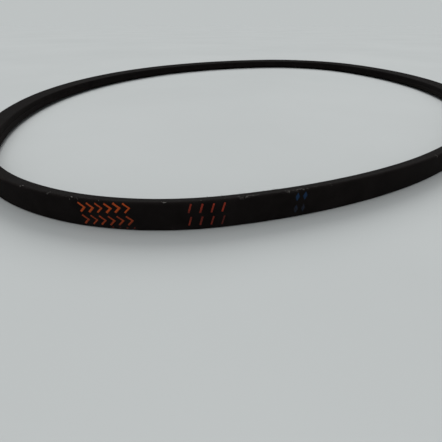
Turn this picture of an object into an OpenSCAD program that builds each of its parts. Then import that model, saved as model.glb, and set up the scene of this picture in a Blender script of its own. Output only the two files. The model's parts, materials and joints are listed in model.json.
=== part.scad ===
// Wrapped V-belt of the narrowest classical section: an endless loop that lies flat in a relaxed oval.
// Lengths are in millimetres. Z is up, X runs along the oval's long axis, and the origin is the
// middle of the loop on the surface that the belt lies on. The back of the V faces outwards.

/* [Section] */
// Width of the back, between the sharp corners of the V
top_width = 10; // [9.6:0.1:10.4]
// Width of the V on the pitch line
pitch_width = 8.5; // [8.4:0.1:8.8]
// Height of the V from back to base
section_height = 6; // [5.6:0.1:6.6]
// Angle between the two flanks
flank_angle = 40; // [36:1:42]
// Rounding of the wrapped corners
corner_radius = 0.75; // [0.7:0.05:0.9]

/* [Loop] */
// Length around the pitch line
pitch_length = 1080; // [900:10:1400]
// How far the loop is from round: a fifth of the difference between its side radius and its end radius
oval_step = 26; // [10:1:32]

/* [Cover] */
// Thickness of one ply of cover cloth
ply_thickness = 0.3; // [0.2:0.05:0.3]
// Gap between the two edges of a ply at its seam
seam_gap = 0.2; // [0.1:0.05:0.4]

/* [Core] */
// Thickness of each strip of adhesion gum
gum_thickness = 0.3; // [0.2:0.05:0.4]
// Diameter of the load cord
cord_diameter = 0.6; // [0.5:0.02:0.62]
// Turns of the load cord around the loop
cord_turns = 6; // [3:1:6]
// Sideways step of the cord from one turn to the next
cord_step = 1.04; // [1:0.01:1.05]
// Room left between the cord and each gum strip
cord_room = 0.05; // [0.05:0.01:0.1]

/* [Hidden] */

// The V: depth is measured inwards from the back, and the pitch line is where the V is pitch_width wide.
flank_tilt = flank_angle / 2;
pitch_depth = (top_width - pitch_width) / 2 / tan(flank_tilt);
corner_loss = corner_radius * (1 / cos(flank_tilt) + tan(flank_tilt) - 1);
mid_height = top_width / 2 - corner_loss;
corner_steps = 6;

// The oval: two tight end arcs and two wide side arcs, tangent where they meet. Their centres and the
// difference between their radii are the sides of a 3-4-5 triangle, which fixes the planes where they meet.
end_centre = 4 * oval_step;
side_centre = 3 * oval_step;
end_half_angle = atan2(side_centre, end_centre);
side_half_angle = 90 - end_half_angle;
radius_difference = 5 * oval_step;
length_of_difference = 4 * radius_difference * side_half_angle * PI / 180;
radius_grain = 0.01;
end_radius = round((pitch_length - length_of_difference) / (2 * PI) / radius_grain) * radius_grain;
side_radius = end_radius + radius_difference;
arc_facets = 360;

// Each arc of the loop: its centre, its pitch radius, the angle of its middle and half of its span.
loop_arcs = [
    [[end_centre, 0], end_radius, 0, end_half_angle],
    [[0, -side_centre], side_radius, 90, side_half_angle],
    [[-end_centre, 0], end_radius, 180, end_half_angle],
    [[0, side_centre], side_radius, 270, side_half_angle]
];

// The wedge of the plan that each arc fills: the two corners beyond the arc, seen from its centre.
wedge_scale = ceil(side_radius);
wedge_height = 4 * top_width;
arc_wedges = [
    [[4, -3], [4, 3]],
    [[4, 3], [-4, 3]],
    [[-4, 3], [-4, -3]],
    [[-4, -3], [4, -3]]
];

// The layers, as depths below the back.
cover_depth = 2 * ply_thickness;
cord_band_half = cord_diameter / 2 + cord_room;
upper_gum_depth = pitch_depth - cord_band_half - gum_thickness;
cord_band_depth = pitch_depth - cord_band_half;
lower_gum_depth = pitch_depth + cord_band_half;
base_rubber_depth = lower_gum_depth + gum_thickness;
base_depth = section_height - cover_depth;
cut_margin = 1;

// The cord's rings: the number along each arc keeps the straight steps equally close to the curve.
cord_sides = 6;
end_arc_rings = 16;
side_arc_rings = 36;
arc_rings = [end_arc_rings, side_arc_rings, end_arc_rings, side_arc_rings];
turn_rings = 2 * (end_arc_rings + side_arc_rings);
cord_ring_count = cord_turns * turn_rings;
cord_bulge = end_radius * (1 - cos(end_half_angle / end_arc_rings)) / 2;

cover_colour = "#161617";
cloth_colour = "#2a2826";
rubber_colour = "#303030";
gum_colour = "#5b4a3a";
cord_colour = "#d9d2bd";

// Corners of the V drawn in by inset: X runs outwards from the pitch line, and Y up from mid-height.
function v_half_width(depth, inset) =
    top_width / 2 - depth * tan(flank_tilt) - inset / cos(flank_tilt);
function v_corners(inset) =
    let(outer = inset, inner = section_height - inset)
    [
        [pitch_depth - inner, -v_half_width(inner, inset)],
        [pitch_depth - outer, -v_half_width(outer, inset)],
        [pitch_depth - outer, v_half_width(outer, inset)],
        [pitch_depth - inner, v_half_width(inner, inset)]
    ];

// Points of one rounded corner of an outline that runs anticlockwise.
function unit(v) = v / norm(v);
function corner_arc(before, corner, after, r) =
    let(
        u = unit(before - corner),
        v = unit(after - corner),
        half = acos(u * v) / 2,
        centre = corner + unit(u + v) * r / sin(half),
        start = corner + u * r / tan(half) - centre,
        start_angle = atan2(start.y, start.x),
        sweep = 180 - 2 * half
    )
    [
        for (i = [0 : corner_steps])
            let(a = start_angle + sweep * i / corner_steps)
            centre + r * [cos(a), sin(a)]
    ];
function rounded(corners, r) =
    let(n = len(corners))
    [
        for (i = [0 : n - 1])
            each corner_arc(corners[(i + n - 1) % n], corners[i], corners[(i + 1) % n], r)
    ];

// The whole rounded V, drawn in by inset.
module v_section(inset) {
    polygon(rounded(v_corners(inset), corner_radius - inset));
}

// Slot across the middle of the section between two depths, where a ply's edges meet.
module seam_slot(depth_from, depth_to) {
    translate([pitch_depth - depth_to, -seam_gap / 2])
        square([depth_to - depth_from, seam_gap]);
}

// Carries a section once round the loop, at mid-height above the resting surface.
module around_loop() {
    for (i = [0 : len(loop_arcs) - 1])
        translate([loop_arcs[i][0].x, loop_arcs[i][0].y, mid_height])
            intersection() {
                rotate_extrude($fn = arc_facets)
                    translate([loop_arcs[i][1], 0])
                        children();
                linear_extrude(wedge_height, center = true)
                    polygon([[0, 0], wedge_scale * arc_wedges[i][0], wedge_scale * arc_wedges[i][1]]);
            }
}

// A slice of the core between two depths, filling the cover from flank to flank.
module core_layer(depth_from, depth_to) {
    around_loop()
        intersection() {
            v_section(cover_depth);
            translate([pitch_depth - depth_to, -top_width])
                square([depth_to - depth_from, 2 * top_width]);
        }
}

// The load cord's route: a point for each ring, one turn after another, climbing steadily across the belt.
function ring_arc(i) =
    let(j = i % turn_rings)
    j < arc_rings[0] ? [0, j]
    : j < arc_rings[0] + arc_rings[1] ? [1, j - arc_rings[0]]
    : j < turn_rings - arc_rings[3] ? [2, j - arc_rings[0] - arc_rings[1]]
    : [3, j - turn_rings + arc_rings[3]];
function ring_angle(i) =
    let(place = ring_arc(i), arc = loop_arcs[place[0]])
    arc[2] - arc[3] + 2 * arc[3] * place[1] / arc_rings[place[0]];
function ring_centre(i) =
    let(
        arc = loop_arcs[ring_arc(i)[0]],
        a = ring_angle(i),
        r = arc[1] + cord_bulge,
        climb = cord_step * (i / turn_rings - cord_turns / 2)
    )
    [arc[0].x + r * cos(a), arc[0].y + r * sin(a), mid_height + climb];
function ring_points(i) =
    let(centre = ring_centre(i), a = ring_angle(i), r = cord_diameter / 2)
    [
        for (k = [0 : cord_sides - 1])
            let(b = 360 * k / cord_sides)
            centre + r * [cos(b) * cos(a), cos(b) * sin(a), sin(b)]
    ];

cord_route = [for (i = [0 : cord_ring_count]) ring_centre(i)];
cord_gap = min([
    for (i = [0 : cord_ring_count - turn_rings])
        norm(cord_route[i + turn_rings] - cord_route[i])
]) - cord_diameter;
echo(least_gap_between_cord_turns = cord_gap);

module cover_outer_ply() {
    color(cover_colour)
        around_loop()
            difference() {
                v_section(0);
                v_section(ply_thickness);
                seam_slot(section_height - cover_depth, section_height + cut_margin);
            }
}

module cover_inner_ply() {
    color(cloth_colour)
        around_loop()
            difference() {
                v_section(ply_thickness);
                v_section(cover_depth);
                seam_slot(-cut_margin, cover_depth + ply_thickness);
            }
}

module back_rubber() {
    color(rubber_colour)
        core_layer(cover_depth, upper_gum_depth);
}

module upper_gum() {
    color(gum_colour)
        core_layer(upper_gum_depth, cord_band_depth);
}

module load_cord() {
    last = cord_ring_count * cord_sides;
    points = [
        for (i = [0 : cord_ring_count])
            each ring_points(i)
    ];
    walls = [
        for (i = [0 : cord_ring_count - 1], k = [0 : cord_sides - 1])
            let(
                a = i * cord_sides + k,
                b = i * cord_sides + (k + 1) % cord_sides,
                c = b + cord_sides,
                d = a + cord_sides
            )
            each [[a, d, b], [b, d, c]]
    ];
    caps = [
        for (k = [1 : cord_sides - 2])
            each [[0, k, k + 1], [last, last + k + 1, last + k]]
    ];
    color(cord_colour)
        polyhedron(points, concat(walls, caps));
}

module lower_gum() {
    color(gum_colour)
        core_layer(lower_gum_depth, base_rubber_depth);
}

module base_rubber() {
    color(rubber_colour)
        core_layer(base_rubber_depth, base_depth);
}

cover_outer_ply();
cover_inner_ply();
back_rubber();
upper_gum();
load_cord();
lower_gum();
base_rubber();
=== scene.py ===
# %% [markdown]
# # A wrapped V-belt, dressed around its CAD frame
#
# The object is one endless drive belt. A core of rubber and wound cord is wrapped in two plies of
# black rubberised cloth, and the loop lies flat in a relaxed oval.
#
# The CAD model already holds every layer at its true size. Blender adds what CAD leaves plain: the
# woven cover with its tucked seam, the stamped marks on the back and the frayed threads on the edges.
# Everything is in metres and in the CAD model's own frame, so nothing has to be fitted into place.

# %% Load the frame
import json

import bpy
import numpy as np
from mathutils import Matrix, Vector


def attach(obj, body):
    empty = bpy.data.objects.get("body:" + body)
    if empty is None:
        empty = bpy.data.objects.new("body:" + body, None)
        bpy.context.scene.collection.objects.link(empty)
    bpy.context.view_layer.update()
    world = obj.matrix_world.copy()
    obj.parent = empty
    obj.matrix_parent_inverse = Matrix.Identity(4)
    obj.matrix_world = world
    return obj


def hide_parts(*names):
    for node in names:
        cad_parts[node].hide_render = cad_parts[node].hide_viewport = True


MM = 0.001


def in_mm(lengths):
    """Lengths in metres as rounded numbers of millimetres, for printing."""
    return np.round(np.array(lengths) / MM, 2).tolist()


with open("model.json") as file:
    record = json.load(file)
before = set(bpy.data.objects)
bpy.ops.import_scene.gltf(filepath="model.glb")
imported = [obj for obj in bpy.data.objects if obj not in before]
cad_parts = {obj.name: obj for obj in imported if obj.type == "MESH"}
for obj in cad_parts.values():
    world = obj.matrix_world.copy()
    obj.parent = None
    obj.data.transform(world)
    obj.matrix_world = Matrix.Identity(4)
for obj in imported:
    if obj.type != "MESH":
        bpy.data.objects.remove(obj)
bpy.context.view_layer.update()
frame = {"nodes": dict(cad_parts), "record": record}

# %% [markdown]
# ## The sizes that drive everything
#
# A belt of this kind is described by a handful of numbers: the V section, which has to fit a standard
# pulley groove, and the length of the pitch line, where the cord lies. The rest follows from them.
# The centre of each tight end comes from the frame's record, where it is the seat of a pulley. With
# the centre of a side arc and the loop's middle it makes a triangle whose sides are as 3 to 4 to 5.

# %% Driving sizes
TOP_WIDTH = 10 * MM
PITCH_WIDTH = 8.5 * MM
SECTION_HEIGHT = 6 * MM
FLANK_TILT = np.radians(20)
CORNER_RADIUS = 0.75 * MM
PLY_THICKNESS = 0.3 * MM
SEAM_GAP = 0.2 * MM
PITCH_LENGTH = 1080 * MM
SIDE_TO_END = 3 / 4

seats = {mount["name"]: mount["pos_m"] for mount in frame["record"]["mounts"]}
end_centre, _, mid_height = seats["drive_pulley_seat"]
side_centre = end_centre * SIDE_TO_END
end_half_angle = np.arctan2(side_centre, end_centre)
side_half_angle = np.pi / 2 - end_half_angle
radius_difference = np.hypot(end_centre, side_centre)
# The loop is as long as a circle of the end radius and what the two wide side arcs add to it.
end_radius = (PITCH_LENGTH - 4 * radius_difference * side_half_angle) / (2 * np.pi)
side_radius = end_radius + radius_difference
pitch_depth = (TOP_WIDTH - PITCH_WIDTH) / 2 / np.tan(FLANK_TILT)
print("pitch radii in mm:", in_mm(end_radius), "at the ends and", in_mm(side_radius), "at the sides")

# %% [markdown]
# ## Camera
#
# The belt is seen from close by and a little above, through a wide lens, so the near end looks large
# and the far end runs out of sight. The place and the lens were solved from the edges of the belt.
# Depth of field stays off, and the near clip is short because the belt is under 100 mm away. The
# Standard view shows a colour as it is written.

# %% Camera
CAMERA_PLACE = Vector((-245.6, -87.4, 49.9)) * MM
CAMERA_TARGET = Vector((-179.2, -55.8, 0.0)) * MM
LENS_LENGTH = 23.7
SENSOR_WIDTH = 36.0
NEAR_CLIP = 5 * MM

scene = bpy.context.scene
scene.view_settings.view_transform = "Standard"
camera = bpy.data.objects.new("camera", bpy.data.cameras.new("camera"))
scene.collection.objects.link(camera)
scene.camera = camera
view_line = CAMERA_TARGET - CAMERA_PLACE
camera.location = CAMERA_PLACE
camera.rotation_euler = view_line.to_track_quat("-Z", "Y").to_euler()
camera.data.lens = LENS_LENGTH
camera.data.sensor_width = SENSOR_WIDTH
camera.data.clip_start = NEAR_CLIP
print(f"the camera looks down by {np.degrees(np.arcsin(-view_line.normalized().z)):.1f} degrees")

# %% [markdown]
# ## Meshes from grids of points
#
# Every new shape below is a grid of points that numpy works out as one array. The faces of a grid are
# quads whose corner numbers follow from the row and the column, so one small function makes the faces
# of any grid, and another puts points and quads into a mesh in a few block copies.

# %% Grid helpers
def grid_quads(rows, columns, close_rows=False, close_columns=False):
    """Quads of a grid of points that are numbered row by row.

    A point's number is its row times the number of columns, plus its column. A closed direction joins
    its last line of points to its first.
    """
    row = np.arange(rows if close_rows else rows - 1)[:, None]
    column = np.arange(columns if close_columns else columns - 1)[None, :]
    next_row = (row + 1) % rows
    next_column = (column + 1) % columns
    corners = [
        row * columns + column,
        next_row * columns + column,
        next_row * columns + next_column,
        row * columns + next_column,
    ]
    return np.stack(corners, axis=-1).reshape(-1, len(corners))


def quad_object(name, points, quads):
    """A smooth-shaded object at the origin, with these points and quads in its mesh."""
    points = np.asarray(points, np.float32).reshape(-1, 3)
    mesh = bpy.data.meshes.new(name)
    mesh.vertices.add(len(points))
    mesh.vertices.foreach_set("co", points.ravel())
    mesh.loops.add(quads.size)
    mesh.loops.foreach_set("vertex_index", quads.ravel().astype(np.int32))
    mesh.polygons.add(len(quads))
    mesh.polygons.foreach_set("loop_start", np.arange(0, quads.size, quads.shape[1], dtype=np.int32))
    mesh.polygons.foreach_set("use_smooth", np.ones(len(quads), bool))
    mesh.update(calc_edges=True)
    mesh.validate()
    made = bpy.data.objects.new(name, mesh)
    scene.collection.objects.link(made)
    print(f"{name}: {len(points)} points, {len(quads)} quads")
    return made


def store(piece, name, kind, domain, values):
    """Keeps one value per point or per corner on a piece, where a material can read it by name."""
    field = {"FLOAT": "value", "FLOAT_VECTOR": "vector", "FLOAT_COLOR": "color"}[kind]
    attribute = piece.data.attributes.new(name, kind, domain)
    attribute.data.foreach_set(field, np.asarray(values, np.float32).ravel())


print("quads in an open grid of 3 by 4 points:", len(grid_quads(3, 4)))

# %% [markdown]
# ## Floor and light
#
# The belt lies on a wide, plain, matt floor. A floor that is lit by lamps close by fades into the dark
# at its edges, so the lamps here are suns: they light every part of the floor alike. Each has a wide
# disc, like a window or a softbox, which makes the shadows soft. The strongest stands behind the belt
# and leaves the back of the belt dark, as it is by a window. A weak one in front opens the shadows.

# %% Floor
FLOOR_HALF_WIDTH = 8.0
FLOOR_POINTS = 33
FLOOR_DROP = 0.05 * MM

floor_line = np.linspace(-FLOOR_HALF_WIDTH, FLOOR_HALF_WIDTH, FLOOR_POINTS)
floor_x, floor_y = np.meshgrid(floor_line, floor_line, indexing="ij")
floor_points = np.stack([floor_x, floor_y, np.full_like(floor_x, -FLOOR_DROP)], axis=-1)
floor = quad_object("pale_floor", floor_points, grid_quads(FLOOR_POINTS, FLOOR_POINTS))

# %% Lamps
LAMPS = {
    "window_behind": {"from": (1.05, 0.47, 0.95), "disc_degrees": 40, "strength": 1.85},
    "softbox_above": {"from": (-0.05, 0.12, 1.50), "disc_degrees": 60, "strength": 0.75},
    "fill_in_front": {"from": (-0.90, -0.63, 0.75), "disc_degrees": 50, "strength": 0.35},
}

for name, lamp in LAMPS.items():
    light = bpy.data.lights.new(name, "SUN")
    light.energy = lamp["strength"]
    light.angle = np.radians(lamp["disc_degrees"])
    lamp_object = bpy.data.objects.new(name, light)
    scene.collection.objects.link(lamp_object)
    lamp_object.location = lamp["from"]
    lamp_object.rotation_euler = (-lamp_object.location).to_track_quat("-Z", "Y").to_euler()
print("lamps:", {name: lamp["strength"] for name, lamp in LAMPS.items()})

# %% [markdown]
# ## The path of the loop
#
# A slack belt rests in an oval of four arcs that run into each other smoothly: two tight ends and two
# wide sides. A place along the belt is the length along the pitch line, counted from the middle of the
# end that is nearest the camera, growing anticlockwise as seen from above. A curve object could hold
# the path, but a formula gives the points for a whole array of places at once.

# %% Loop path
def running_total(steps):
    """The sum of the steps so far: nought at the start and all of them at the end."""
    return np.concatenate([[0], np.cumsum(steps)])


half_loop = PITCH_LENGTH / 2
turn_stops = np.array(
    [
        0,
        end_half_angle,
        np.pi - end_half_angle,
        np.pi + end_half_angle,
        2 * np.pi - end_half_angle,
        2 * np.pi,
    ]
)
arc_radii = np.array([end_radius, side_radius, end_radius, side_radius, end_radius])
arc_centres = np.array(
    [[end_centre, 0], [0, -side_centre], [-end_centre, 0], [0, side_centre], [end_centre, 0]]
)
arc_lengths = np.diff(turn_stops) * arc_radii
along_stops = running_total(arc_lengths) - half_loop


def loop_points(along, outward, up):
    """Points that stand off the pitch line, outwards and up from mid-height.

    The direction outwards turns at a steady rate along each arc, so its angle lies on a line between
    the angles at the arc's two ends. The point is the arc's centre plus its radius in that direction.
    """
    along = np.mod(along + half_loop, PITCH_LENGTH) - half_loop
    arc = np.clip(np.searchsorted(along_stops, along, side="right") - 1, 0, len(arc_radii) - 1)
    turn = np.interp(along, along_stops, turn_stops)
    reach = arc_radii[arc] + outward
    x = arc_centres[arc, 0] + reach * np.cos(turn)
    y = arc_centres[arc, 1] + reach * np.sin(turn)
    return np.stack(np.broadcast_arrays(x, y, mid_height + up), axis=-1)


print("length of the path in mm:", in_mm(arc_lengths.sum()))

# %% [markdown]
# ## The section of the cover
#
# The outer ply is a strip of cloth that starts at a seam in the middle of the base, goes round all
# four rounded corners of the V and comes back to the seam. The same walk, drawn in by the thickness
# of the cloth, gives the inner face of the ply. Points typed in by hand would do, but a walk that is
# worked out from the driving sizes changes with them.

# %% Section walk
def unit(vector):
    """The vector at length one."""
    return vector / np.linalg.norm(vector)


def wrap_walk(inset, straight_steps, corner_steps):
    """One walk round the V drawn in by inset, from one edge of the seam to the other.

    A corner is an arc that touches both of its straight sides, and a straight side is cut into equal
    steps. The columns are the distance outwards from the pitch line and the height from mid-height.
    """
    back = pitch_depth - inset
    base = pitch_depth - SECTION_HEIGHT + inset
    slant = inset / np.cos(FLANK_TILT)
    wide = TOP_WIDTH / 2 - inset * np.tan(FLANK_TILT) - slant
    narrow = TOP_WIDTH / 2 - (SECTION_HEIGHT - inset) * np.tan(FLANK_TILT) - slant
    edge = SEAM_GAP / 2
    stops = np.array(
        [[base, -edge], [base, -narrow], [back, -wide], [back, wide], [base, narrow], [base, edge]]
    )
    radius = CORNER_RADIUS - inset
    stretches = [stops[:1]]
    for before, corner, after in zip(stops, stops[1:], stops[2:]):
        into = unit(before - corner)
        out_of = unit(after - corner)
        half = np.arccos(into @ out_of) / 2
        centre = corner + unit(into + out_of) * radius / np.sin(half)
        first = corner + into * radius / np.tan(half) - centre
        angle = np.arctan2(first[1], first[0]) + np.linspace(0, np.pi - 2 * half, corner_steps + 1)
        stretches.append(centre + radius * np.column_stack([np.cos(angle), np.sin(angle)]))
    stretches.append(stops[-1:])
    walk = [stretches[0]]
    for previous, following, steps in zip(stretches, stretches[1:], straight_steps):
        walk.append(np.linspace(previous[-1], following[0], steps + 1)[1:-1])
        walk.append(following)
    return np.concatenate(walk)


def step_lengths(walk):
    """The length of each step of a walk."""
    return np.linalg.norm(np.diff(walk, axis=0), axis=1)


outer_walk = wrap_walk(0, straight_steps=(5, 12, 18, 12, 5), corner_steps=8)
inner_walk = wrap_walk(PLY_THICKNESS, straight_steps=(2, 5, 6, 5, 2), corner_steps=4)
walk_length = running_total(step_lengths(outer_walk))
across_stops = walk_length - walk_length[-1] / 2
walk_slope = np.gradient(outer_walk, walk_length, axis=0)
walk_slope /= np.linalg.norm(walk_slope, axis=1)[:, None]
walk_outward = np.column_stack([walk_slope[:, 1], -walk_slope[:, 0]])
print("the cloth is", in_mm(walk_length[-1]), "mm wide, in", len(outer_walk), "points")

# %% [markdown]
# ## Small unevenness of a moulded, wrapped belt
#
# A wrapped belt isn't as even as a drawing. The cloth swells and sinks by a few hundredths of a
# millimetre, a faint ridge runs along each outer corner where the mould closed, and the edges of the
# cloth tuck down into the seam. A displacement texture could do this, but the marks and the hairs have
# to follow the same surface, so all of it is one height that depends on the place along and across.

# %% Relief of the cover
SLOW_WAVES = ((7, 0.016 * MM), (19, 0.012 * MM), (43, 0.008 * MM))
# How far a wave's phase moves on across the strip, in radians for each metre.
WAVE_SLANT = 180
RIDGE_HEIGHT = 0.05 * MM
RIDGE_WIDTH = 0.22 * MM
RIDGE_MEAN = 0.6
RIDGE_SWING = 0.4
RIDGE_BEATS = (97, 31)
BEAT_PHASE = 1
SEAM_TUCK = 0.12 * MM
SEAM_TUCK_WIDTH = 0.4 * MM

# Half of the sharp angle between the back and a flank, and what its rounding leaves of the flat back.
back_half_angle = (np.pi / 2 - FLANK_TILT) / 2
flat_half = TOP_WIDTH / 2 - CORNER_RADIUS / np.tan(back_half_angle)
corner_span = CORNER_RADIUS * (np.pi - 2 * back_half_angle)
ridge_place = flat_half + corner_span / 2


def bell(distance, width):
    """One on the line and falling off to both sides: e to minus the square of distance over width."""
    return np.exp(-((distance / width) ** 2))


def cover_relief(along, across):
    """Height of the cloth above the drawn section.

    Slow waves are sines with a whole number of waves round the loop, so they close on themselves.
    A ridge or a tuck is a bell curve of the distance across from the middle of its line, and the
    ridge's height beats along the belt as the product of two sines.
    """
    lap = 2 * np.pi * along / PITCH_LENGTH
    waves = sum(height * np.sin(count * lap + WAVE_SLANT * across + count) for count, height in SLOW_WAVES)
    quick_beat, slow_beat = RIDGE_BEATS
    uneven = RIDGE_MEAN + RIDGE_SWING * np.sin(quick_beat * lap) * np.sin(slow_beat * lap + BEAT_PHASE)
    ridge = RIDGE_HEIGHT * uneven * bell(np.abs(across) - ridge_place, RIDGE_WIDTH)
    tuck = SEAM_TUCK * bell(across_stops[-1] - np.abs(across), SEAM_TUCK_WIDTH)
    return waves + ridge - tuck


def on_cover(along, across, lift):
    """Points on the cover, or lifted off it.

    The section's point at that distance across is moved along the section's outward direction by the
    relief and the lift.
    """
    rise = cover_relief(along, across) + lift
    outward = np.interp(across, across_stops, outer_walk[:, 0])
    outward = outward + rise * np.interp(across, across_stops, walk_outward[:, 0])
    up = np.interp(across, across_stops, outer_walk[:, 1])
    up = up + rise * np.interp(across, across_stops, walk_outward[:, 1])
    return loop_points(along, outward, up)


print("the ridges run", in_mm(ridge_place), "mm to each side of the middle of the back")

# %% [markdown]
# ## The outer ply of the cover
#
# This is what shows of the belt. It could be a bevelled curve, but a curve has one outline and no
# seam. Here the closed outline of the cloth, out along its outer face and back along its inner face,
# is carried round the loop, so the ply is a true sheet with two edges that face each other at the
# seam, and the ply below shows in the gap between them.

# %% Cover mesh
COVER_RINGS = 720

ring_along = np.linspace(-half_loop, half_loop, COVER_RINGS, endpoint=False)
outer_face = on_cover(ring_along[:, None], across_stops, 0)
inner_face = loop_points(ring_along[:, None], inner_walk[::-1, 0], inner_walk[::-1, 1])
cover_points = np.concatenate([outer_face, inner_face], axis=1)
ring_size = cover_points.shape[1]
cover_quads = grid_quads(COVER_RINGS, ring_size, close_rows=True, close_columns=True)
cover = quad_object("belt_cover", cover_points, cover_quads)

# %% [markdown]
# The weave and the wear follow the cloth, so each corner of each face keeps its place on the strip, in
# metres along and across. Corners are used and not points, because the strip's two ends meet at one
# ring of points.

# %% Places on the strip
def ring_and_next(values, following):
    """For each ring, or each step of the outline, its own value and the value at the next one."""
    return np.stack([values, np.append(values[1:], following)], axis=-1)


def per_corner(ring_pairs, step_pairs):
    """The values at the four corners of every face of the cover, in the order in which quads go round."""
    rings = np.broadcast_to(ring_pairs[:, None, :], (COVER_RINGS, ring_size, 2))
    steps = np.broadcast_to(step_pairs[None, :, :], (COVER_RINGS, ring_size, 2))
    return np.stack([rings[..., [0, 1, 1, 0]], steps[..., [0, 0, 1, 1]]], axis=-1)


way_back = np.linspace(across_stops[-1], across_stops[0], len(inner_walk))
outline_across = np.concatenate([across_stops, way_back])
strip_places = per_corner(
    ring_and_next(ring_along, half_loop),
    ring_and_next(outline_across, across_stops[0]),
)
no_height = np.zeros_like(strip_places[..., :1])
store(cover, "belt_place", "FLOAT_VECTOR", "CORNER", np.concatenate([strip_places, no_height], axis=-1))
print("corners with a place on the strip:", no_height.size)

# %% [markdown]
# A map for baking lays the cover out flat. One strip of this length would be a thread across the
# picture, so the map cuts it into stacked rows, with the hidden inner face squeezed into a narrow
# margin of each row.

# %% Bake map
BAKE_ROWS = 6
BAKE_MARGIN = 0.02
HIDDEN_SHARE = 0.1

outline_steps = step_lengths(np.concatenate([outer_walk, inner_walk[::-1], outer_walk[:1]]))
outline_steps[len(outer_walk) - 1:] *= HIDDEN_SHARE
outline_share = running_total(outline_steps) / outline_steps.sum()
rings_per_row = COVER_RINGS // BAKE_ROWS
bake_row, ring_in_row = np.divmod(np.arange(COVER_RINGS), rings_per_row)
bake_places = per_corner(
    np.stack([ring_in_row, ring_in_row + 1], axis=-1) / rings_per_row,
    np.stack([outline_share[:-1], outline_share[1:]], axis=-1),
)
bake_places = BAKE_MARGIN / 2 + bake_places * (1 - BAKE_MARGIN)
bake_places[..., 1] = (bake_places[..., 1] + bake_row[:, None, None]) / BAKE_ROWS
bake_map = cover.data.uv_layers.new(name="OFBake")
bake_map.data.foreach_set("uv", bake_places.astype(np.float32).ravel())
print("bake map:", BAKE_ROWS, "rows, each of", in_mm(PITCH_LENGTH / BAKE_ROWS), "mm of belt")

# %% [markdown]
# Three masks say where the belt is used: the corners, where cloth is rubbed thin, the flanks, which
# carry a film of dust from the groove and a painted sheen that lightens them, and two short stretches
# of edge that have been scraped. They could be painted by hand, but bells and ramps of the place fit
# the mesh whatever its number of points.

# %% Cover wear masks
EDGE_WIDTH = 0.42 * MM
BASE_EDGE_WEAR = 0.5
FLANK_FADE = 0.5 * MM
SCRAPES = np.array([[65.0, 71.0], [79.5, 85.0]]) * MM
SCRAPE_FADE = 3 * MM
SCRAPE_ELSEWHERE = 0.06
SCRAPE_SHIFT = 0.3 * MM


def ramp(value, start, width):
    """Nought before start, one after start plus width, and an even S-curve between.

    The curve is three times the square of the share of the way less twice its cube.
    """
    share = np.clip((value - start) / width, 0, 1)
    return share * share * (3 - 2 * share)


# The worn edge is just past the ridge. The base corner is past the flat back, its corner and the flank.
worn_edge = ridge_place + SCRAPE_SHIFT
base_half_angle = np.pi / 2 - back_half_angle
rounded_off = CORNER_RADIUS / np.tan(back_half_angle) + CORNER_RADIUS / np.tan(base_half_angle)
flank_length = SECTION_HEIGHT / np.cos(FLANK_TILT) - rounded_off
base_corner_place = flat_half + corner_span + flank_length + CORNER_RADIUS * back_half_angle
from_middle = np.abs(outline_across)
edge_mask = bell(from_middle - worn_edge, EDGE_WIDTH)
edge_mask = edge_mask + BASE_EDGE_WEAR * bell(from_middle - base_corner_place, EDGE_WIDTH)
# The flank mask carries the dust and the painted sheen of the flanks.
flank_mask = ramp(from_middle, flat_half + corner_span, FLANK_FADE)
flank_mask = flank_mask * (1 - ramp(from_middle, base_corner_place - FLANK_FADE, FLANK_FADE))
scraped = sum(
    ramp(ring_along, start - SCRAPE_FADE, SCRAPE_FADE) * (1 - ramp(ring_along, stop, SCRAPE_FADE))
    for start, stop in SCRAPES
)
scrape_mask = SCRAPE_ELSEWHERE + (1 - SCRAPE_ELSEWHERE) * scraped[:, None] * (outline_across > 0)
shows = np.arange(ring_size) < len(outer_walk)
masks = np.broadcast_arrays(edge_mask * shows, flank_mask * shows, scrape_mask * shows, 1)
store(cover, "belt_zone", "FLOAT_COLOR", "POINT", np.stack(masks, axis=-1))
print("scraped stretches of edge, in mm along the belt:", in_mm(SCRAPES))

# %% [markdown]
# ## Strokes and threads that lie on the cover
#
# Stamped ink and frayed threads are both thin strands on the cloth. Bevelled curves could stand for
# them, but these would be round, and ink is flat. So each is a line of a few stations on the strip, with
# a flat ring of six points at every station. The rings are worked out in the strip's own coordinates,
# along, across and off the cloth, and only then carried round the loop, so a strand follows the belt
# wherever it is laid. Two quads at each end close it, and no point goes below the floor.

# %% Strand helpers
RING_SIDES = np.array([-1, 0, 1, 1, 0, -1])
RING_RISES = np.array([1, 1, 1, -1, -1, -1])
RING_CAPS = np.array([[0, 1, 4, 5], [1, 2, 3, 4]])


def finer(rings, parts):
    """Rings at the stations and at equal steps between them, on the straight line from one to the next."""
    last = rings.shape[1] - 1
    travel = np.linspace(0, last, last * parts + 1)
    before = np.minimum(travel.astype(int), last - 1)
    share = (travel - before)[:, None, None]
    return rings[:, before] * (1 - share) + rings[:, before + 1] * share


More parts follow.
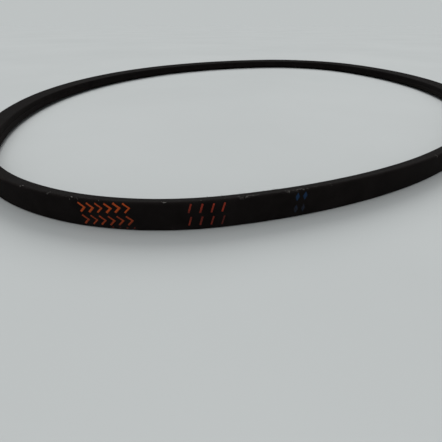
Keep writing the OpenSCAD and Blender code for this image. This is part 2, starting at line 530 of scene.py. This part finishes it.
def strands(name, lines, lift, half_width, half_height, parts=1):
    """Closed flat strands along lines on the cover.

    lines holds the place along and across of every station of every strand. The ring at a station is
    square to the line's direction there, half_width to each side and half_height above and below lift.
    Rings between the stations, parts to each stretch, let a strand bend with the belt.
    """
    direction = np.gradient(lines, axis=1)
    direction /= np.linalg.norm(direction, axis=-1, keepdims=True)
    aside = np.stack([-direction[..., 1], direction[..., 0]], axis=-1)
    reach = half_width[..., None] * RING_SIDES
    places = lines[:, :, None, :] + aside[:, :, None, :] * reach[..., None]
    heights = lift[..., None] + half_height[..., None] * RING_RISES
    rings = finer(np.concatenate([places, heights[..., None]], axis=-1), parts)
    points = on_cover(rings[..., 0], rings[..., 1], rings[..., 2])
    points[..., 2] = np.maximum(points[..., 2], 0)
    count, stations, sides = rings.shape[:3]
    walls = grid_quads(stations, sides, close_columns=True)
    last_caps = RING_CAPS[:, ::-1] + (stations - 1) * sides
    one_strand = np.concatenate([walls, RING_CAPS, last_caps])
    first_points = np.arange(count) * stations * sides
    quads = one_strand + first_points[:, None, None]
    made = quad_object(name, points, quads.reshape(-1, one_strand.shape[1]))
    store(made, "belt_place", "FLOAT_VECTOR", "POINT", rings)
    return made


def store_per_strand(piece, name, values):
    """Keeps one value per strand, on all of the strand's points."""
    points_each = len(piece.data.vertices) // len(values)
    store(piece, name, "FLOAT", "POINT", np.repeat(values, points_each))


print("points in each ring of a strand:", len(RING_SIDES))

# %% [markdown]
# ## Stamped marks
#
# The back of the belt is stamped twice over, a little askew, in orange, in red and in a blue that has
# nearly gone. The marks are plain signs: arrowheads that show the running direction, slanted strokes,
# and lozenges. They could be painted in the cover's finish, but a film with an edge of its own stays
# crisp from any distance, so each mark is a thin closed slip that stands 0.03 mm off the cloth. One
# function stamps a block of marks, and chance makes each a little different.

# %% A block of marks
INK_TOP = 0.03 * MM
INK_ROOT = 0.10 * MM
INK_JITTER = 0.07 * MM
STROKE_SPREAD = (0.85, 1.15)
KEPT_SPREAD = (0.8, 1.1)
PARTS_PER_STRETCH = 12
DICE_SEED = 5
dice = np.random.default_rng(DICE_SEED)


def stamped_block(name, shape, size, stroke, middle, grid, pitch, turn, ink_per_row):
    """A block of equal marks in a grid of columns and rows, turned as a whole about its middle.

    A row of shape is one station of a mark: its place along and across for a size of one, and its
    share of the stroke's width. size, stroke, middle and pitch are in millimetres and turn in degrees.
    ink_per_row is how much ink each row has kept, from the top row down.
    """
    columns, rows = grid
    pitch_along, pitch_across = np.array(pitch) * MM
    place_along = (np.arange(columns) - (columns - 1) / 2) * pitch_along
    place_across = ((rows - 1) / 2 - np.arange(rows)) * pitch_across
    centres = np.stack(np.meshgrid(place_along, place_across), axis=-1).reshape(-1, 2)
    centres = centres + dice.uniform(-INK_JITTER, INK_JITTER, centres.shape)
    lines = centres[:, None, :] + shape[:, :2] * (np.array(size) * MM)
    cosine = np.cos(np.radians(turn))
    sine = np.sin(np.radians(turn))
    lines = lines @ np.array([[cosine, sine], [-sine, cosine]]) + np.array(middle) * MM
    half_stroke = stroke * MM / 2 * dice.uniform(*STROKE_SPREAD, len(lines))
    half_width = half_stroke[:, None] * shape[:, 2]
    lift = np.full(half_width.shape, (INK_TOP - INK_ROOT) / 2)
    half_height = np.full(half_width.shape, (INK_TOP + INK_ROOT) / 2)
    block = strands(name, lines, lift, half_width, half_height, PARTS_PER_STRETCH)
    kept = np.repeat(ink_per_row, columns) * dice.uniform(*KEPT_SPREAD, len(lines))
    store_per_strand(block, "ink_kept", kept)
    return block


print("ink stands off the cloth by", in_mm(INK_TOP), "mm")

# %% Marks on the back
ARROWHEAD = np.array([[-0.5, 0.5, 1.0], [0.5, 0.0, 1.45], [-0.5, -0.5, 1.0]])
SLANT = np.array([[0.22, 0.5, 1.0], [-0.22, -0.5, 1.0]])
LOZENGE = np.array([[0.0, 0.5, 0.08], [0.0, 0.0, 1.0], [0.0, -0.5, 0.08]])

arrowheads = stamped_block(
    "stamp_arrowheads", ARROWHEAD, size=(1.6, 3.0), stroke=0.55, middle=(27.8, 0.45),
    grid=(6, 2), pitch=(2.65, 4.15), turn=4.0, ink_per_row=(1.0, 0.75),
)
cut_row = stamped_block(
    "stamp_cut_row", SLANT, size=(1.0, 0.5), stroke=0.35, middle=(32.4, -3.85),
    grid=(4, 1), pitch=(2.1, 0.0), turn=2.0, ink_per_row=(0.4,),
)
slants = stamped_block(
    "stamp_slants", SLANT, size=(1.6, 2.9), stroke=0.5, middle=(56.1, 0.45),
    grid=(4, 2), pitch=(3.1, 4.25), turn=-2.0, ink_per_row=(0.8, 0.62),
)
lozenges = stamped_block(
    "stamp_lozenges", LOZENGE, size=(0.0, 2.7), stroke=1.5, middle=(84.6, 0.5),
    grid=(2, 2), pitch=(2.6, 4.25), turn=0.0, ink_per_row=(0.9, 0.5),
)

# %% [markdown]
# ## Frayed threads
#
# Where the edge of the cover has been scraped, ends of the cotton stand out of the rubber as short
# pale hairs. They could be a particle system, but that would not survive an export. First each hair
# gets its place: in tufts on the worn edge and on the inner edge, along the scrapes, and here and
# there round the loop on the upper and the lower edge of the back.

# %% Hair places
TUFTS_ALONG = np.array([-0.8, 10.1, 18.2, 44.5, 146.6]) * MM
INNER_TUFTS = 14
INNER_STRETCH = (57 * MM, 81 * MM)
HAIRS_PER_TUFT = 6
TUFT_SPREAD = 0.15 * MM
HAIRS_PER_SCRAPE = 45
HAIRS_UPPER = 110
HAIRS_LOWER = 60
LOWER_CORNER_SHARE = 0.25
HAIR_SPREAD = 0.28 * MM

inner_tufts_along = dice.uniform(*INNER_STRETCH, INNER_TUFTS)
tuft_along = np.repeat(np.concatenate([TUFTS_ALONG, inner_tufts_along]), HAIRS_PER_TUFT)
hair_along = np.concatenate(
    [
        tuft_along + dice.normal(0, TUFT_SPREAD, len(tuft_along)),
        dice.uniform(SCRAPES[:, :1], SCRAPES[:, 1:], (len(SCRAPES), HAIRS_PER_SCRAPE)).ravel(),
        dice.uniform(-half_loop, half_loop, HAIRS_UPPER + HAIRS_LOWER),
    ]
)
hair_count = len(hair_along)
hairs_in_tufts = len(TUFTS_ALONG) * HAIRS_PER_TUFT
hairs_inside = INNER_TUFTS * HAIRS_PER_TUFT
hairs_along_edge = hair_count - hairs_in_tufts - hairs_inside - HAIRS_LOWER
lower_edge = -(flat_half + corner_span * LOWER_CORNER_SHARE)
hair_edge = np.repeat(
    [worn_edge, base_corner_place, worn_edge, lower_edge],
    [hairs_in_tufts, hairs_inside, hairs_along_edge, HAIRS_LOWER],
)
hair_across = hair_edge + dice.normal(0, HAIR_SPREAD, hair_count)
print("hairs:", hair_count, "of which", hairs_inside, "stand on the inner edge")

# %% [markdown]
# Then each hair gets its shape. Its direction turns as it goes, and its height is part of a sine wave,
# so it rises from the cloth and bends back towards it.

# %% Hair shapes
HAIR_STATIONS = 6
HAIR_LENGTH = (0.15 * MM, 0.6 * MM)
HAIR_RADIUS = (0.014 * MM, 0.026 * MM)
HAIR_TURN = 0.9
HAIR_RISE = (0.1, 0.35)
INNER_HAIR_RISE = 2.5
HAIR_BOW = 0.8 * np.pi
HAIR_SINK = 0.03 * MM
HAIR_TIP = 0.35
PALENESS = (0.0, 0.8)

travel = np.linspace(0, 1, HAIR_STATIONS)
hair_length = dice.uniform(*HAIR_LENGTH, hair_count)[:, None]
heading = dice.uniform(-np.pi, np.pi, hair_count)[:, None]
heading = heading + dice.normal(0, HAIR_TURN, hair_count)[:, None] * travel
step_length = hair_length / (HAIR_STATIONS - 1)
hair_run = np.cumsum(np.stack([np.cos(heading), np.sin(heading)], axis=-1), axis=1)
hair_roots = np.stack([hair_along, hair_across], axis=-1)
hair_lines = hair_roots[:, None, :] + hair_run * step_length[..., None]
hair_gain = np.where(hair_edge == base_corner_place, INNER_HAIR_RISE, 1)
hair_stand = dice.uniform(*HAIR_RISE, hair_count) * hair_gain
hair_rise = hair_length * hair_stand[:, None] * np.sin(HAIR_BOW * travel)
hair_radius = dice.uniform(*HAIR_RADIUS, hair_count)[:, None] * (1 - (1 - HAIR_TIP) * travel)
hairs = strands("edge_hairs", hair_lines, hair_rise - HAIR_SINK, hair_radius, hair_radius)
hair_paleness = dice.uniform(*PALENESS, hair_count)
hair_paleness[:hairs_in_tufts] = 1
store_per_strand(hairs, "paleness", hair_paleness)

# %% [markdown]
# ## Node helpers
#
# A finish is a small network of nodes. Helpers keep the networks readable: one adds a node and fills
# or links its inputs, and the others each give the result of one common node.

# %% Node helpers
# A Mix node has sockets for several kinds of data. These are the numbers of those for a colour.
MIX_FACTOR = 0
MIX_FIRST_COLOUR = 6
MIX_SECOND_COLOUR = 7
MIX_COLOUR = 2


def add_node(tree, kind, inputs=None, **settings):
    """Adds a node. An input that is given a socket is linked to it, and any other input gets the value."""
    made = tree.nodes.new(kind)
    for name, value in settings.items():
        setattr(made, name, value)
    for key, value in (inputs or {}).items():
        if isinstance(value, bpy.types.NodeSocket):
            tree.links.new(value, made.inputs[key])
        else:
            made.inputs[key].default_value = value
    return made


def calculate(tree, operation, *values, clamp=False):
    """The result of one Math node."""
    inputs = dict(enumerate(values))
    return add_node(tree, "ShaderNodeMath", inputs, operation=operation, use_clamp=clamp).outputs[0]


def spread(tree, value, low, high):
    """A value that goes from low to high while the given one goes from nought to one."""
    return calculate(tree, "MULTIPLY_ADD", value, high - low, low)


def stretch(tree, value, low, high):
    """A value that goes from nought to one, and no further, while the given one goes from low to high."""
    inputs = {"Value": value, "From Min": low, "From Max": high}
    return add_node(tree, "ShaderNodeMapRange", inputs).outputs[0]


def blend(tree, share, first, second):
    """A colour between two: the first where share is nought and the second where it is one."""
    inputs = {MIX_FACTOR: share, MIX_FIRST_COLOUR: first, MIX_SECOND_COLOUR: second}
    return add_node(tree, "ShaderNodeMix", inputs, data_type="RGBA").outputs[MIX_COLOUR]


def read(tree, name, output):
    """What a piece keeps under this name."""
    return add_node(tree, "ShaderNodeAttribute", attribute_name=name).outputs[output]


def solid_place(tree):
    """The place of a point in the object's own frame."""
    return add_node(tree, "ShaderNodeTexCoord").outputs["Object"]


print("node helpers are ready")

# %% [markdown]
# An effect that several finishes share is a node group with named sockets. It is built once and placed
# in every finish that shows it, each time with its own values. A finish itself starts from Blender's
# Principled shader. Its level of shine is the same all over, so it is set on the shader, while colour,
# roughness and relief change over the surface and come from nodes.

# %% Groups and finishes
VALUE = "NodeSocketFloat"
VECTOR = "NodeSocketVector"
THREAD_RELIEF = 0.05 * MM


def start_group(name, inputs, outputs):
    """A node group with these named sockets, its input node and its output node."""
    group = bpy.data.node_groups.new(name, "ShaderNodeTree")
    for label, kind in inputs.items():
        group.interface.new_socket(label, in_out="INPUT", socket_type=kind)
    for label, kind in outputs.items():
        group.interface.new_socket(label, in_out="OUTPUT", socket_type=kind)
    return group, group.nodes.new("NodeGroupInput"), group.nodes.new("NodeGroupOutput")


def place_group(tree, group, inputs):
    """The outputs of a group that is placed in a tree with its own values."""
    return add_node(tree, "ShaderNodeGroup", inputs, node_tree=group).outputs


def start_finish(name, shine):
    """An empty material with this level of shine, its node tree and its Principled shader."""
    material = bpy.data.materials.new(name)
    material.use_nodes = True
    shader = material.node_tree.nodes["Principled BSDF"]
    shader.inputs["Specular IOR Level"].default_value = shine
    return material, material.node_tree, shader


def add_relief(tree, shader, height, strength):
    """Turns a height from nought to one into relief as deep as the threads."""
    inputs = {"Height": height, "Strength": strength, "Distance": THREAD_RELIEF}
    bump = add_node(tree, "ShaderNodeBump", inputs)
    tree.links.new(bump.outputs[0], shader.inputs["Normal"])


print("relief of the threads in mm:", in_mm(THREAD_RELIEF))

# %% [markdown]
# ## Bias weave
#
# The cover is a plain weave, one thread over and one under, cut on the bias so that its threads run at
# 45 degrees to the belt and the cloth can bend. A picture of cloth would blur close up, while sines
# stay sharp: seen along either set of threads, each thread is a round ridge, and which set lies on top
# changes from one crossing to the next like a chessboard. The thread pitch divides the loop evenly, so
# the weave meets itself where the strip closes.

# %% Weave group
BIAS = np.radians(45)
THREADS_ROUND = 1200
CROSSING_STEEPNESS = 3.0
EVEN_CROSSING = 0.5
thread_pitch = PITCH_LENGTH * np.cos(BIAS) / THREADS_ROUND

weave_group, weave_in, weave_out = start_group(
    "bias_weave",
    {"Place": VECTOR, "Thread Pitch": VALUE},
    {"Height": VALUE, "Thread Tone": VALUE},
)
turned = add_node(
    weave_group,
    "ShaderNodeVectorRotate",
    {"Vector": weave_in.outputs["Place"], "Angle": BIAS},
    rotation_type="Z_AXIS",
)
threads_per_metre = calculate(weave_group, "DIVIDE", 1.0, weave_in.outputs["Thread Pitch"])
counted = add_node(
    weave_group,
    "ShaderNodeVectorMath",
    {"Vector": turned.outputs[0], "Scale": threads_per_metre},
    operation="SCALE",
)
thread_axes = add_node(weave_group, "ShaderNodeSeparateXYZ", {"Vector": counted.outputs[0]})
warp_count, weft_count, _ = thread_axes.outputs
warp_wave = calculate(weave_group, "SINE", calculate(weave_group, "MULTIPLY", warp_count, np.pi))
weft_wave = calculate(weave_group, "SINE", calculate(weave_group, "MULTIPLY", weft_count, np.pi))
crossing = calculate(weave_group, "MULTIPLY", warp_wave, weft_wave)
warp_on_top = calculate(
    weave_group, "MULTIPLY_ADD", crossing, CROSSING_STEEPNESS, EVEN_CROSSING, clamp=True
)
warp_ridge = calculate(weave_group, "ABSOLUTE", warp_wave)
weft_ridge = calculate(weave_group, "ABSOLUTE", weft_wave)
ridge_gain = calculate(weave_group, "SUBTRACT", warp_ridge, weft_ridge)
weave_height = calculate(weave_group, "MULTIPLY_ADD", ridge_gain, warp_on_top, weft_ridge)
warp_number = calculate(weave_group, "FLOOR", warp_count)
thread_dice = add_node(weave_group, "ShaderNodeTexWhiteNoise", {"W": warp_number}, noise_dimensions="1D")
weave_group.links.new(weave_height, weave_out.inputs["Height"])
weave_group.links.new(thread_dice.outputs["Value"], weave_out.inputs["Thread Tone"])
print("thread pitch in mm:", in_mm(thread_pitch))

# %% [markdown]
# ## Rubber mottle
#
# Rubber is never one black. Carbon and oil gather in soft patches a few millimetres across, and the
# skin has a fine grain from the mould. A picture of rubber would repeat or end somewhere, so two noises
# at different sizes give a tone and a grain.

# %% Mottle group
PATCH_DETAIL = 4.0
PATCH_ROUGHNESS = 0.6
PATCH_RANGE = (0.32, 0.68)
GRAINS_PER_PATCH = 14.0
GRAIN_DETAIL = 2.0

mottle_group, mottle_in, mottle_out = start_group(
    "rubber_mottle",
    {"Place": VECTOR, "Patches per Metre": VALUE},
    {"Tone": VALUE, "Grain": VALUE},
)
mottle_place = mottle_in.outputs["Place"]
patch_scale = mottle_in.outputs["Patches per Metre"]
patches = add_node(
    mottle_group,
    "ShaderNodeTexNoise",
    {"Vector": mottle_place, "Scale": patch_scale, "Detail": PATCH_DETAIL, "Roughness": PATCH_ROUGHNESS},
)
grain_scale = calculate(mottle_group, "MULTIPLY", patch_scale, GRAINS_PER_PATCH)
grain = add_node(
    mottle_group,
    "ShaderNodeTexNoise",
    {"Vector": mottle_place, "Scale": grain_scale, "Detail": GRAIN_DETAIL},
)
patch_tone = stretch(mottle_group, patches.outputs[0], *PATCH_RANGE)
mottle_group.links.new(patch_tone, mottle_out.inputs["Tone"])
mottle_group.links.new(grain.outputs[0], mottle_out.inputs["Grain"])


def mottled(tree, patches_per_metre):
    """The tone and the grain of a mottle of this size."""
    inputs = {"Place": solid_place(tree), "Patches per Metre": patches_per_metre}
    return place_group(tree, mottle_group, inputs)


print("groups:", [group.name for group in bpy.data.node_groups])

# %% [markdown]
# ## The cover's finish
#
# The cloth is soaked in black rubber, matt with a soft lustre, and faintly brown. The threads show as
# low relief, a little paler on top than in the hollows. Flanks are greyer than the back, from dust and
# from a painted sheen that stands in for the light grazing them, and the corners are rubbed down to
# grey cotton in spots. A finish for each zone would leave hard lines where two of them meet, so there
# is one for the whole cover, and the masks on the mesh blend its colours.

# %% Cover finish
COVER_BLACK = (0.0040, 0.0032, 0.0030, 1)
COVER_SOFT_BLACK = (0.0136, 0.0115, 0.0110, 1)
# Flank colour: dust from the groove, plus a painted sheen in place of light grazing the upper flank.
FLANK_DUST_AND_SHEEN = (0.0085, 0.0079, 0.0077, 1)
RUBBED_COTTON = (0.13, 0.122, 0.115, 1)
COVER_SHINE = 0.02
COVER_PATCHES = 160.0
DUST_AND_SHEEN_PATCHES = 55.0
RUB_PATCHES = 1100.0
SOFT_ON_THREADS = (-0.15, 0.40)
SOFT_IN_PATCHES = 0.45
DUST_AND_SHEEN_SHARE = (0.2, 0.6)
RUBBED_TONES = (0.7, 1.0)
COVER_ROUGHNESS = (0.78, 0.92)
RUBBED_ROUGHNESS = 0.1
GRAIN_RELIEF = 0.35
COVER_RELIEF = 0.8

cover_finish, tree, shader = start_finish("cover_cloth", COVER_SHINE)
zone = read(tree, "belt_zone", "Color")
on_edge, on_flank, on_scrape = add_node(tree, "ShaderNodeSeparateColor", {"Color": zone}).outputs
strip = read(tree, "belt_place", "Vector")
weave = place_group(tree, weave_group, {"Place": strip, "Thread Pitch": thread_pitch})
mottle = mottled(tree, COVER_PATCHES)

thread_share = spread(tree, weave["Height"], *SOFT_ON_THREADS)
soft_share = calculate(tree, "MULTIPLY_ADD", mottle["Tone"], SOFT_IN_PATCHES, thread_share, clamp=True)
colour = blend(tree, soft_share, COVER_BLACK, COVER_SOFT_BLACK)
# Dust and painted sheen make the flanks paler, in patches.
dust_and_sheen = spread(tree, mottled(tree, DUST_AND_SHEEN_PATCHES)["Tone"], *DUST_AND_SHEEN_SHARE)
dust_and_sheen_share = calculate(tree, "MULTIPLY", on_flank, dust_and_sheen)
colour = blend(tree, dust_and_sheen_share, colour, FLANK_DUST_AND_SHEEN)
rub_reach = calculate(tree, "MULTIPLY", on_edge, on_scrape)
rub_spots = stretch(tree, mottled(tree, RUB_PATCHES)["Tone"], *RUBBED_TONES)
rub_share = calculate(tree, "MULTIPLY", rub_reach, rub_spots, clamp=True)
colour = blend(tree, rub_share, colour, RUBBED_COTTON)
tree.links.new(colour, shader.inputs["Base Color"])

rough_patches = spread(tree, mottle["Tone"], *COVER_ROUGHNESS)
roughness = calculate(tree, "MULTIPLY_ADD", rub_share, RUBBED_ROUGHNESS, rough_patches)
tree.links.new(roughness, shader.inputs["Roughness"])
height = calculate(tree, "MULTIPLY_ADD", mottle["Grain"], GRAIN_RELIEF, weave["Height"])
add_relief(tree, shader, height, COVER_RELIEF)
cover.data.materials.append(cover_finish)
print("cover finish has", len(tree.nodes), "nodes")

# %% [markdown]
# ## The inks
#
# Stamping ink takes on the tops of the threads and misses the hollows, and handling wears it away in
# patches. The share of ink that is left is the ink that the mark has kept, raised on the threads and
# lowered by a mottle. A see-through gap would show the inside of the slip, so where little ink is left
# the slip itself takes on the black of the cloth.

# %% Ink finishes
INKS = {
    "ink_orange": {"fresh": (0.38, 0.060, 0.012, 1), "faded": (0.20, 0.022, 0.014, 1)},
    "ink_red": {"fresh": (0.30, 0.034, 0.016, 1), "faded": (0.15, 0.018, 0.014, 1)},
    "ink_blue": {"fresh": (0.008, 0.028, 0.070, 1), "faded": (0.008, 0.018, 0.040, 1)},
}
STAMPED_IN = {arrowheads: "ink_orange", cut_row: "ink_orange", slants: "ink_red", lozenges: "ink_blue"}
INK_SHINE = 0.08
INK_PATCHES = 420.0
INK_ON_THREADS = (0.75, 1.10)
INK_WORN_OFF = 0.3
INK_GAIN = 1.3
INK_ROUGHNESS = (0.6, 0.8)
INK_RELIEF = 0.6


def ink_finish(name, fresh, faded):
    """A worn ink between its fresh and its faded colour, with the cloth showing where it has gone."""
    material, tree, shader = start_finish(name, INK_SHINE)
    strip = read(tree, "belt_place", "Vector")
    weave = place_group(tree, weave_group, {"Place": strip, "Thread Pitch": thread_pitch})
    wear = mottled(tree, INK_PATCHES)
    on_threads = spread(tree, weave["Height"], *INK_ON_THREADS)
    taken = calculate(tree, "MULTIPLY", read(tree, "ink_kept", "Fac"), on_threads)
    worn_off = calculate(tree, "MULTIPLY", wear["Tone"], INK_WORN_OFF)
    share = calculate(tree, "SUBTRACT", taken, worn_off, clamp=True)
    share = calculate(tree, "MULTIPLY", share, INK_GAIN, clamp=True)
    colour = blend(tree, share, COVER_SOFT_BLACK, blend(tree, share, faded, fresh))
    tree.links.new(colour, shader.inputs["Base Color"])
    tree.links.new(spread(tree, wear["Grain"], *INK_ROUGHNESS), shader.inputs["Roughness"])
    add_relief(tree, shader, weave["Height"], INK_RELIEF)
    return material


inks = {name: ink_finish(name, **ink) for name, ink in INKS.items()}
for block, name in STAMPED_IN.items():
    block.data.materials.append(inks[name])
print("inks:", {block.name: name for block, name in STAMPED_IN.items()})

# %% [markdown]
# ## Frayed cotton
#
# The hairs are undyed cotton with some of the black still on them, dry and with hardly any shine. All
# in one colour they would look like bristles. A material for each would be many materials, so there is
# one, which reads how pale each hair is from the mesh and darkens it in places with the mottle.

# %% Hair finish
COTTON_PALE = (0.34, 0.325, 0.305, 1)
COTTON_BLACKENED = (0.03, 0.028, 0.026, 1)
COTTON_SHINE = 0.1
COTTON_PATCHES = 700.0
PALE_BY_HAIR = 0.7
PALE_BY_PATCH = 0.3
COTTON_ROUGHNESS = (0.7, 0.9)

hair_finish, tree, shader = start_finish("frayed_cotton", COTTON_SHINE)
mottle = mottled(tree, COTTON_PATCHES)
pale_hair = calculate(tree, "MULTIPLY", read(tree, "paleness", "Fac"), PALE_BY_HAIR)
pale_share = calculate(tree, "MULTIPLY_ADD", mottle["Tone"], PALE_BY_PATCH, pale_hair)
tree.links.new(blend(tree, pale_share, COTTON_BLACKENED, COTTON_PALE), shader.inputs["Base Color"])
tree.links.new(spread(tree, mottle["Grain"], *COTTON_ROUGHNESS), shader.inputs["Roughness"])
hairs.data.materials.append(hair_finish)
print("hair finish has", len(tree.nodes), "nodes")

# %% [markdown]
# ## The layers inside
#
# The other layers are sealed inside the cover, apart from a hairline of the inner ply at the seam.
# Their CAD shapes are right, so they stay and only get a finish: cloth for the inner ply, plain rubber
# above and below, brown gum next to the cord, and twisted yarn for the cord. Patterns that follow the
# loop need the place along it, which a group works out from the angle round the middle.

# %% Place round the loop
mean_radius = PITCH_LENGTH / (2 * np.pi)

round_group, round_in, round_out = start_group("round_the_loop", {"Solid Place": VECTOR}, {"Place": VECTOR})
x, y, z = add_node(round_group, "ShaderNodeSeparateXYZ", {"Vector": round_in.outputs[0]}).outputs
loop_angle = calculate(round_group, "ARCTAN2", y, x)
along_loop = calculate(round_group, "MULTIPLY", loop_angle, mean_radius)
rolled_out = add_node(round_group, "ShaderNodeCombineXYZ", {"X": along_loop, "Y": z})
round_group.links.new(rolled_out.outputs[0], round_out.inputs["Place"])
print("mean radius of the loop in mm:", in_mm(mean_radius))

# %% Layer finishes
YARN_PITCH = 0.25 * MM
LAYER_PATCHES = 240.0
LAYER_RELIEF = 0.6
LAYER_LOOKS = {
    "ply_cloth": {
        "tones": ((0.012, 0.011, 0.010, 1), (0.04, 0.037, 0.034, 1)),
        "roughness": (0.6, 0.75),
        "pattern_pitch": thread_pitch,
    },
    "core_rubber": {
        "tones": ((0.015, 0.015, 0.015, 1), (0.032, 0.032, 0.032, 1)),
        "roughness": (0.6, 0.75),
    },
    "adhesion_gum": {
        "tones": ((0.07, 0.048, 0.030, 1), (0.12, 0.085, 0.055, 1)),
        "roughness": (0.55, 0.7),
    },
    "polyester_cord": {
        "tones": ((0.45, 0.41, 0.32, 1), (0.75, 0.70, 0.57, 1)),
        "roughness": (0.7, 0.85),
        "pattern_pitch": YARN_PITCH,
    },
}
LAYERS = {
    "cover_inner_ply": "ply_cloth",
    "back_rubber": "core_rubber",
    "upper_gum": "adhesion_gum",
    "load_cord": "polyester_cord",
    "lower_gum": "adhesion_gum",
    "base_rubber": "core_rubber",
}


def layer_finish(name, tones, roughness, pattern_pitch=None):
    """Mottled rubber between two tones, or cloth or yarn where a thread pitch is given."""
    material, tree, shader = start_finish(name, COVER_SHINE)
    mottle = mottled(tree, LAYER_PATCHES)
    share = mottle["Tone"]
    height = mottle["Grain"]
    if pattern_pitch:
        strip = place_group(tree, round_group, {"Solid Place": solid_place(tree)})["Place"]
        weave = place_group(tree, weave_group, {"Place": strip, "Thread Pitch": pattern_pitch})
        share = calculate(tree, "MULTIPLY", share, weave["Thread Tone"])
        height = weave["Height"]
    tree.links.new(blend(tree, share, *tones), shader.inputs["Base Color"])
    tree.links.new(spread(tree, mottle["Tone"], *roughness), shader.inputs["Roughness"])
    add_relief(tree, shader, height, LAYER_RELIEF)
    return material


layer_finishes = {name: layer_finish(name, **look) for name, look in LAYER_LOOKS.items()}
for node_name, finish_name in LAYERS.items():
    layer = frame["nodes"][node_name]
    layer.data.materials.clear()
    layer.data.materials.append(layer_finishes[finish_name])
print("layers:", LAYERS)

# %% [markdown]
# ## The floor's finish and the background
#
# The floor is a plain pale grey with a breath of green, and a slow tone keeps it from looking like a
# flat cut-out. It has no shine, so it is the same grey out to its edge. The world lights the scene
# evenly from all round. Where a camera or a reflection looks past the floor, the world shows the
# floor's own grey, so there is no horizon. This changes what is seen there, and not the light.

# %% Floor finish
FLOOR_PALE = (0.53, 0.55, 0.545, 1)
FLOOR_DEEPER = (0.50, 0.52, 0.515, 1)
FLOOR_PATCHES = 4.0
FLOOR_ROUGHNESS = 1.0
NO_SHINE = 0.0

floor_finish, tree, shader = start_finish("pale_floor", NO_SHINE)
floor_tone = mottled(tree, FLOOR_PATCHES)["Tone"]
tree.links.new(blend(tree, floor_tone, FLOOR_DEEPER, FLOOR_PALE), shader.inputs["Base Color"])
shader.inputs["Roughness"].default_value = FLOOR_ROUGHNESS
floor.data.materials.append(floor_finish)
print("floor finish is on", floor.name)

# %% World
WORLD_LIGHT = (0.94, 0.97, 1.0, 1)
WORLD_STRENGTH = 0.35
SEEN_GREY = (0.515, 0.541, 0.541, 1)

world = bpy.data.worlds.new("studio_world")
world.use_nodes = True
scene.world = world
tree = world.node_tree
light_all_round = tree.nodes["Background"]
light_all_round.inputs["Color"].default_value = WORLD_LIGHT
light_all_round.inputs["Strength"].default_value = WORLD_STRENGTH
seen_background = add_node(tree, "ShaderNodeBackground", {"Color": SEEN_GREY})
ray = add_node(tree, "ShaderNodeLightPath").outputs
seen = calculate(tree, "MAXIMUM", ray["Is Camera Ray"], ray["Is Glossy Ray"])
seen = calculate(tree, "MAXIMUM", seen, ray["Is Transmission Ray"])
share_and_shaders = (seen, light_all_round.outputs[0], seen_background.outputs[0])
both = add_node(tree, "ShaderNodeMixShader", dict(enumerate(share_and_shaders)))
tree.links.new(both.outputs[0], tree.nodes["World Output"].inputs["Surface"])
print("world lights with", WORLD_STRENGTH, "and shows", SEEN_GREY)

# %% [markdown]
# ## The pieces on the one body
#
# The belt has no joints, so every piece rides on the one body. The cover stands for the CAD outer ply,
# which is hidden, and a table lists the finish from the record that goes with each piece.

# %% Bodies
SLOTS = {
    cover: "cover_cloth",
    hairs: "cover_cloth",
    arrowheads: "stamp_ink_orange",
    cut_row: "stamp_ink_orange",
    slants: "stamp_ink_orange",
    lozenges: "stamp_ink_blue",
}
for piece, slot in SLOTS.items():
    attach(piece, "root")
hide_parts("cover_outer_ply")
